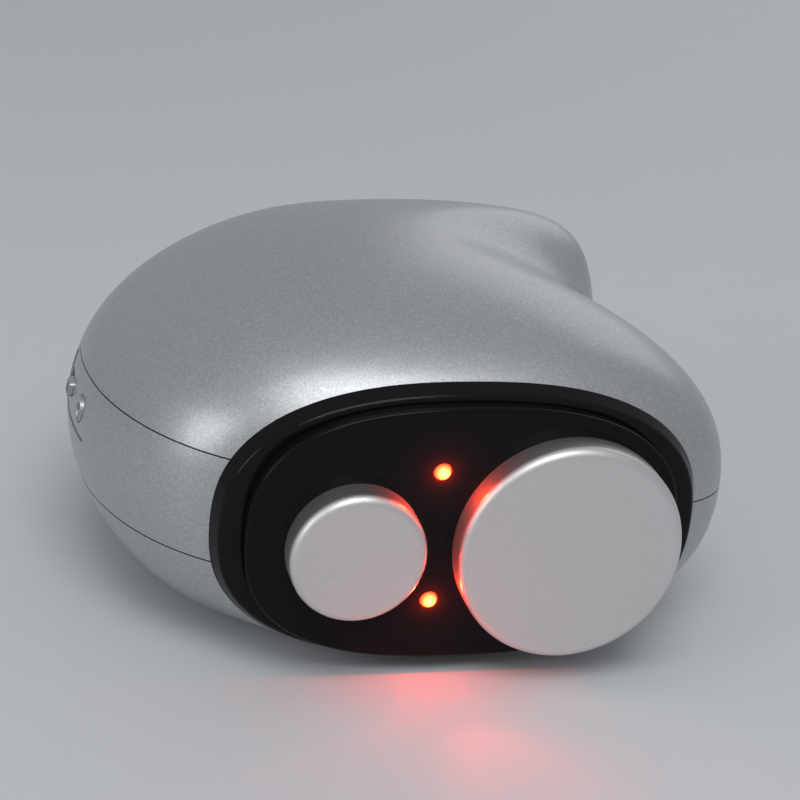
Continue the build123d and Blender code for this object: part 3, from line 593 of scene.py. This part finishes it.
class MASSAGER_OT_inside(bpy.types.Operator):
    """Finish the battery, the boards and what stands on them"""

    bl_idname = "massager.inside"
    bl_label = "Inside"

    def execute(self, context):
        board = grained("solder mask", (0.02, 0.16, 0.07), 0.9, 0.25, 0.4, bump=0.1, variation=0.25)
        dress(["main_board", "lamp_board", "control_board", "side_board"], board)
        dress(["battery_pack"], grained("battery wrap", (0.42, 0.45, 0.5), 1.2, 0.2, 0.35, bump=0.2))
        dress(["battery_pad"], grained("foam tape", (0.12, 0.12, 0.13), 0.3, 0.85, 0.95, bump=0.6))
        dress(["transformer_core"], grained("ferrite", (0.05, 0.05, 0.055), 0.3, 0.5, 0.65, bump=0.3))
        dress(["transformer_coil"], grained("winding tape", (0.75, 0.55, 0.08), 0.5, 0.3, 0.45, bump=0.1))
        dress(["capacitors"], grained("capacitor sleeve", (0.02, 0.03, 0.12), 0.6, 0.2, 0.3, bump=0.05))
        dark = grained("package moulding", (0.02, 0.02, 0.02), 0.2, 0.45, 0.6, bump=0.2)
        dress(["controller_chip", "button_switches"], dark)
        dress(["slide_switch"], grained("switch can", (0.55, 0.55, 0.55), 0.4, 0.25, 0.35, metallic=1.0))
        dress(["lead_headers"], grained("natural nylon", (0.72, 0.69, 0.6), 0.4, 0.4, 0.55, bump=0.1))
        dress(["lead_small", "lead_large"], grained("lead insulation", (0.42, 0.02, 0.02), 0.5, 0.4, 0.5))
        return {"FINISHED"}


def softbox(scene, name, place, target, size, power):
    """A square area light that faces a point."""
    light = bpy.data.lights.new(name, "AREA")
    light.size = size
    light.energy = power
    box = bpy.data.objects.new(name, light)
    box.location = place
    box.rotation_mode = "QUATERNION"
    box.rotation_quaternion = (Vector(target) - Vector(place)).to_track_quat("-Z", "Y")
    scene.collection.objects.link(box)


class MASSAGER_OT_stage(bpy.types.Operator):
    """Lay the floor, hang the softboxes and set the camera"""

    bl_idname = "massager.stage"
    bl_label = "Stage"

    def execute(self, context):
        scene = context.scene
        sizes = scene.massager_stage
        half = sizes.floor_size / 2
        mesh = bpy.data.meshes.new("floor")
        corners = [(-half, -half, 0), (half, -half, 0), (half, half, 0), (-half, half, 0)]
        mesh.from_pydata(corners, [], [(0, 1, 2, 3)])
        mesh.materials.append(grained("floor", sizes.floor, 4.0, 0.55, 0.7, bump=0.02, variation=0.02))
        floor = bpy.data.objects.new("floor", mesh)
        scene.collection.objects.link(floor)
        world = bpy.data.worlds.new("studio")
        world.use_nodes = True
        sky = world.node_tree.nodes["Background"]
        sky.inputs["Color"].default_value = (0.93, 0.95, 1.0, 1)
        sky.inputs["Strength"].default_value = sizes.world_level
        scene.world = world
        target = (0, 0, sizes.lit_height)
        softbox(scene, "key_softbox", sizes.key_place, target, sizes.key_size, sizes.key_power)
        softbox(scene, "fill_softbox", sizes.fill_place, target, sizes.fill_size, sizes.fill_power)
        softbox(scene, "rim_softbox", sizes.rim_place, target, sizes.rim_size, sizes.rim_power)
        view = bpy.data.cameras.new("photo_view")
        view.sensor_width = sizes.sensor
        view.lens = sizes.lens
        camera = bpy.data.objects.new("photo_view", view)
        camera.location = sizes.camera_place
        aim = (Vector(sizes.camera_target) - Vector(sizes.camera_place)).to_track_quat("-Z", "Y")
        camera.rotation_mode = "QUATERNION"
        camera.rotation_quaternion = aim @ Quaternion((0, 0, 1), sizes.camera_roll)
        scene.collection.objects.link(camera)
        scene.camera = camera
        scene.view_settings.view_transform = "Standard"
        return {"FINISHED"}


class MASSAGER_PT_sidebar(bpy.types.Panel):
    """Lists the steps and their sizes"""

    bl_label = "Massager"
    bl_space_type = "VIEW_3D"
    bl_region_type = "UI"
    bl_category = "Massager"

    def draw(self, context):
        for group in (context.scene.massager_finish, context.scene.massager_stage):
            for name in group.__annotations__:
                self.layout.prop(group, name)
        for step in steps:
            self.layout.operator(step.bl_idname)


steps = (
    MASSAGER_OT_shells, MASSAGER_OT_face, MASSAGER_OT_electrodes, MASSAGER_OT_lamps,
    MASSAGER_OT_controls, MASSAGER_OT_flank, MASSAGER_OT_base, MASSAGER_OT_inside, MASSAGER_OT_stage,
)
classes = (FinishSizes, StageSizes, *steps, MASSAGER_PT_sidebar)


def register():
    for item in classes:
        bpy.utils.register_class(item)
    bpy.types.Scene.massager_finish = PointerProperty(type=FinishSizes)
    bpy.types.Scene.massager_stage = PointerProperty(type=StageSizes)


def unregister():
    del bpy.types.Scene.massager_stage
    del bpy.types.Scene.massager_finish
    for item in reversed(classes):
        bpy.utils.unregister_class(item)


def main():
    register()
    for step in steps:
        getattr(bpy.ops.massager, step.bl_idname.split(".")[1])()


if __name__ == "__main__":
    main()
